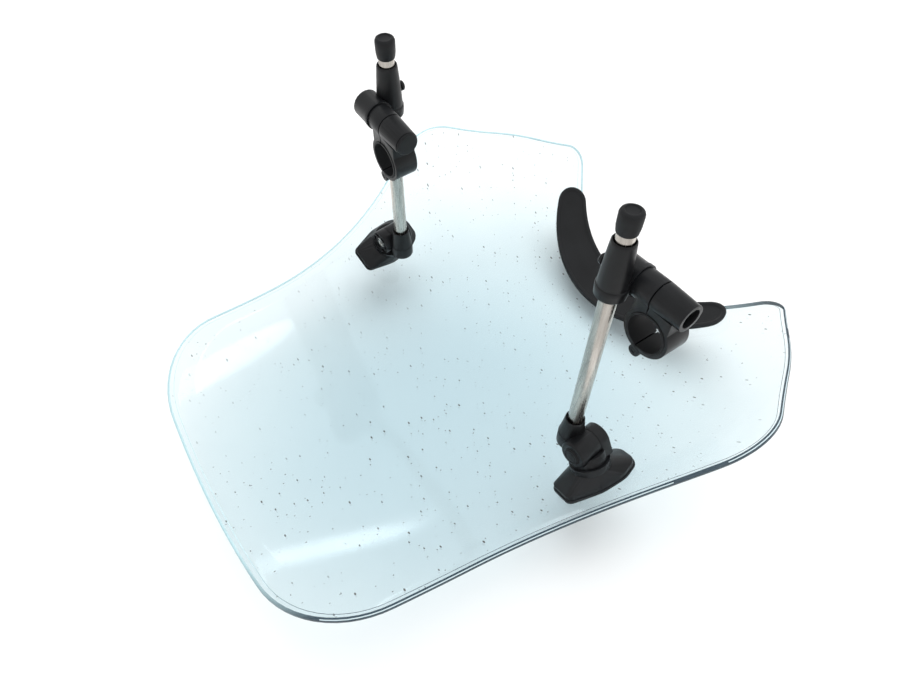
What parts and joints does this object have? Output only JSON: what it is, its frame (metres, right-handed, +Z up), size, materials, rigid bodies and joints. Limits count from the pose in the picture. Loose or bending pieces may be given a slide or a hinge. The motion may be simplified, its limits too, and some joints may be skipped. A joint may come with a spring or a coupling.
{
  "type": "motorcycle windshield screen",
  "caption": "Clear tinted motorcycle windshield lying on its front face, with a headlight cut-out and two rod arms ending in handlebar clamps.",
  "frame": {"origin": "on the floor, under the middle of the bounding box of the part lying on its front face", "axes": "+Z up, towards the rider side; +Y towards the headlight cut-out; +X towards the right arm"},
  "size_m": [0.3806, 0.4274, 0.2523],
  "materials": {
    "acrylic": "clear light-blue tinted acrylic, polished",
    "trim_plastic": "black satin plastic with fine grain",
    "arm_plastic": "black glass-filled nylon, satin",
    "cap_rubber": "black moulded rubber",
    "liner_rubber": "black moulded rubber",
    "gasket_rubber": "black rubber sheet",
    "brushed_steel": "brushed stainless steel",
    "zinc_steel": "bright zinc-plated steel"
  },
  "bodies": {
    "screen": {"screen": "acrylic", "cutout_trim": "trim_plastic", "right_foot_gasket": "gasket_rubber", "right_foot": "arm_plastic", "right_foot_washer": "gasket_rubber", "right_foot_screw": "zinc_steel", "left_foot_gasket": "gasket_rubber", "left_foot": "arm_plastic", "left_foot_washer": "gasket_rubber", "left_foot_screw": "zinc_steel"},
    "right_knuckle_body": {"right_knuckle": "arm_plastic", "right_hinge_bolt": "zinc_steel", "right_hinge_nut": "zinc_steel"},
    "right_socket_body": {"right_rod_socket": "arm_plastic", "right_hinge_cap": "cap_rubber"},
    "right_rod_body": {"right_rod": "brushed_steel", "right_rod_cap": "cap_rubber"},
    "right_slider_body": {"right_slider": "arm_plastic", "right_set_screw": "arm_plastic", "right_arm_nut": "zinc_steel"},
    "right_arm_body": {"right_inner_jaw": "arm_plastic", "right_inner_liner": "liner_rubber", "right_jaw_pin": "arm_plastic"},
    "right_bolt_body": {"right_arm_bolt": "zinc_steel"},
    "right_outer_jaw_body": {"right_outer_jaw": "arm_plastic", "right_outer_liner": "liner_rubber"},
    "left_knuckle_body": {"left_knuckle": "arm_plastic", "left_hinge_bolt": "zinc_steel", "left_hinge_nut": "zinc_steel"},
    "left_socket_body": {"left_rod_socket": "arm_plastic", "left_hinge_cap": "cap_rubber"},
    "left_rod_body": {"left_rod": "brushed_steel", "left_rod_cap": "cap_rubber"},
    "left_slider_body": {"left_slider": "arm_plastic", "left_set_screw": "arm_plastic", "left_arm_nut": "zinc_steel"},
    "left_arm_body": {"left_inner_jaw": "arm_plastic", "left_inner_liner": "liner_rubber", "left_jaw_pin": "arm_plastic"},
    "left_bolt_body": {"left_arm_bolt": "zinc_steel"},
    "left_outer_jaw_body": {"left_outer_jaw": "arm_plastic", "left_outer_liner": "liner_rubber", "left_arm_cap": "cap_rubber"}
  },
  "joints": [
    {"name": "right_foot_swivel", "type": "hinge", "parent": "screen", "child": "right_knuckle_body", "pos_m": [0.12779, 0.007, 0.05637], "axis": [-0.5508, 0, 0.8346], "range_deg": [-45, 45]},
    {"name": "right_rod_tilt", "type": "hinge", "parent": "right_knuckle_body", "child": "right_socket_body", "pos_m": [0.12008, 0.007, 0.06805], "axis": [-0.0901, 0.9942, -0.0595], "range_deg": [-25, 40]},
    {"name": "right_rod_turn", "type": "hinge", "parent": "right_socket_body", "child": "right_rod_body", "pos_m": [0.10745, 0.00581, 0.06737], "axis": [-0.0587, 0.0543, 0.9968], "range_deg": [-90, 90]},
    {"name": "right_slider_travel", "type": "slide", "parent": "right_rod_body", "child": "right_slider_body", "axis": [-0.0587, 0.0543, 0.9968], "range_m": [-0.075, 0.002]},
    {"name": "right_arm_turn", "type": "hinge", "parent": "right_slider_body", "child": "right_arm_body", "pos_m": [0.09931, 0.02617, 0.20573], "axis": [0.9983, 0.0001, 0.0588], "range_deg": [-10, 90]},
    {"name": "right_bolt_loosen", "type": "slide", "parent": "right_arm_body", "child": "right_bolt_body", "axis": [0.9983, 0.0001, 0.0588], "range_m": [0, 0.0024]},
    {"name": "right_jaw_open", "type": "hinge", "parent": "right_arm_body", "child": "right_outer_jaw_body", "pos_m": [0.12242, 0.02418, 0.17038], "axis": [0.0031, 0.9985, -0.0542], "range_deg": [0, 3.01]},
    {"name": "left_foot_swivel", "type": "hinge", "parent": "screen", "child": "left_knuckle_body", "pos_m": [-0.12779, 0.007, 0.05637], "axis": [0.5508, 0, 0.8346], "range_deg": [-45, 45]},
    {"name": "left_rod_tilt", "type": "hinge", "parent": "left_knuckle_body", "child": "left_socket_body", "pos_m": [-0.12008, 0.007, 0.06805], "axis": [0.0524, -0.998, -0.0346], "range_deg": [-25, 40]},
    {"name": "left_rod_turn", "type": "hinge", "parent": "left_socket_body", "child": "left_rod_body", "pos_m": [-0.10741, 0.00769, 0.06735], "axis": [0.057, -0.0316, 0.9979], "range_deg": [-90, 90]},
    {"name": "left_slider_travel", "type": "slide", "parent": "left_rod_body", "child": "left_slider_body", "axis": [0.057, -0.0316, 0.9979], "range_m": [-0.075, 0.002]},
    {"name": "left_arm_turn", "type": "hinge", "parent": "left_slider_body", "child": "left_arm_body", "pos_m": [-0.09948, -0.00951, 0.20615], "axis": [0.9984, 0, -0.0571], "range_deg": [-90, 10]},
    {"name": "left_bolt_loosen", "type": "slide", "parent": "left_arm_body", "child": "left_bolt_body", "axis": [0.9984, 0, -0.0571], "range_m": [0, 0.0024]},
    {"name": "left_jaw_open", "type": "hinge", "parent": "left_arm_body", "child": "left_outer_jaw_body", "pos_m": [-0.08061, -0.00835, 0.16833], "axis": [0.0018, 0.9995, 0.0315], "range_deg": [0, 3.01]}
  ],
  "couplings": [
    {"joint": "right_jaw_open", "follows": "right_bolt_loosen", "rad_per_m": 21.817},
    {"joint": "left_jaw_open", "follows": "left_bolt_loosen", "rad_per_m": 21.817}
  ]
}
